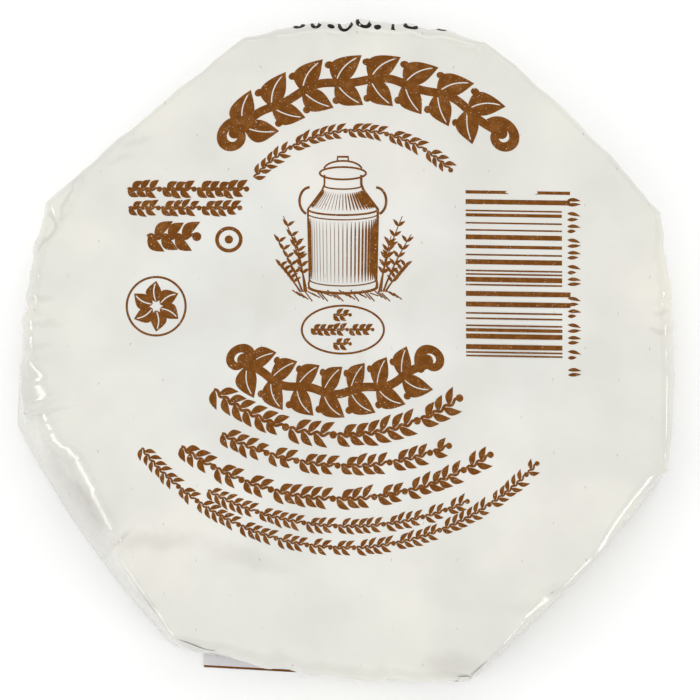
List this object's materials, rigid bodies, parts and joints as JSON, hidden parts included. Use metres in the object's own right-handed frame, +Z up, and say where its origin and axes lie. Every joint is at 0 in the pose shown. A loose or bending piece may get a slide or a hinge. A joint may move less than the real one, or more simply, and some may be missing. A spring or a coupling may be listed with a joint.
{
  "type": "wrapped goat brie",
  "caption": "Flat round goat brie shut in glossy white film, folded under it, with a brown print on its upper face.",
  "frame": {"origin": "on the floor, under the middle of the pack's box", "axes": "+Z up through the flat disc to its printed face, +X to the right of the print, +Y to the top of the print"},
  "size_m": [0.111, 0.1114, 0.0191],
  "materials": {
    "film": "glossy white wrapping film",
    "ink": "brown printing ink"
  },
  "bodies": {
    "root": {"wrapped_cheese": "film"}
  },
  "joints": []
}
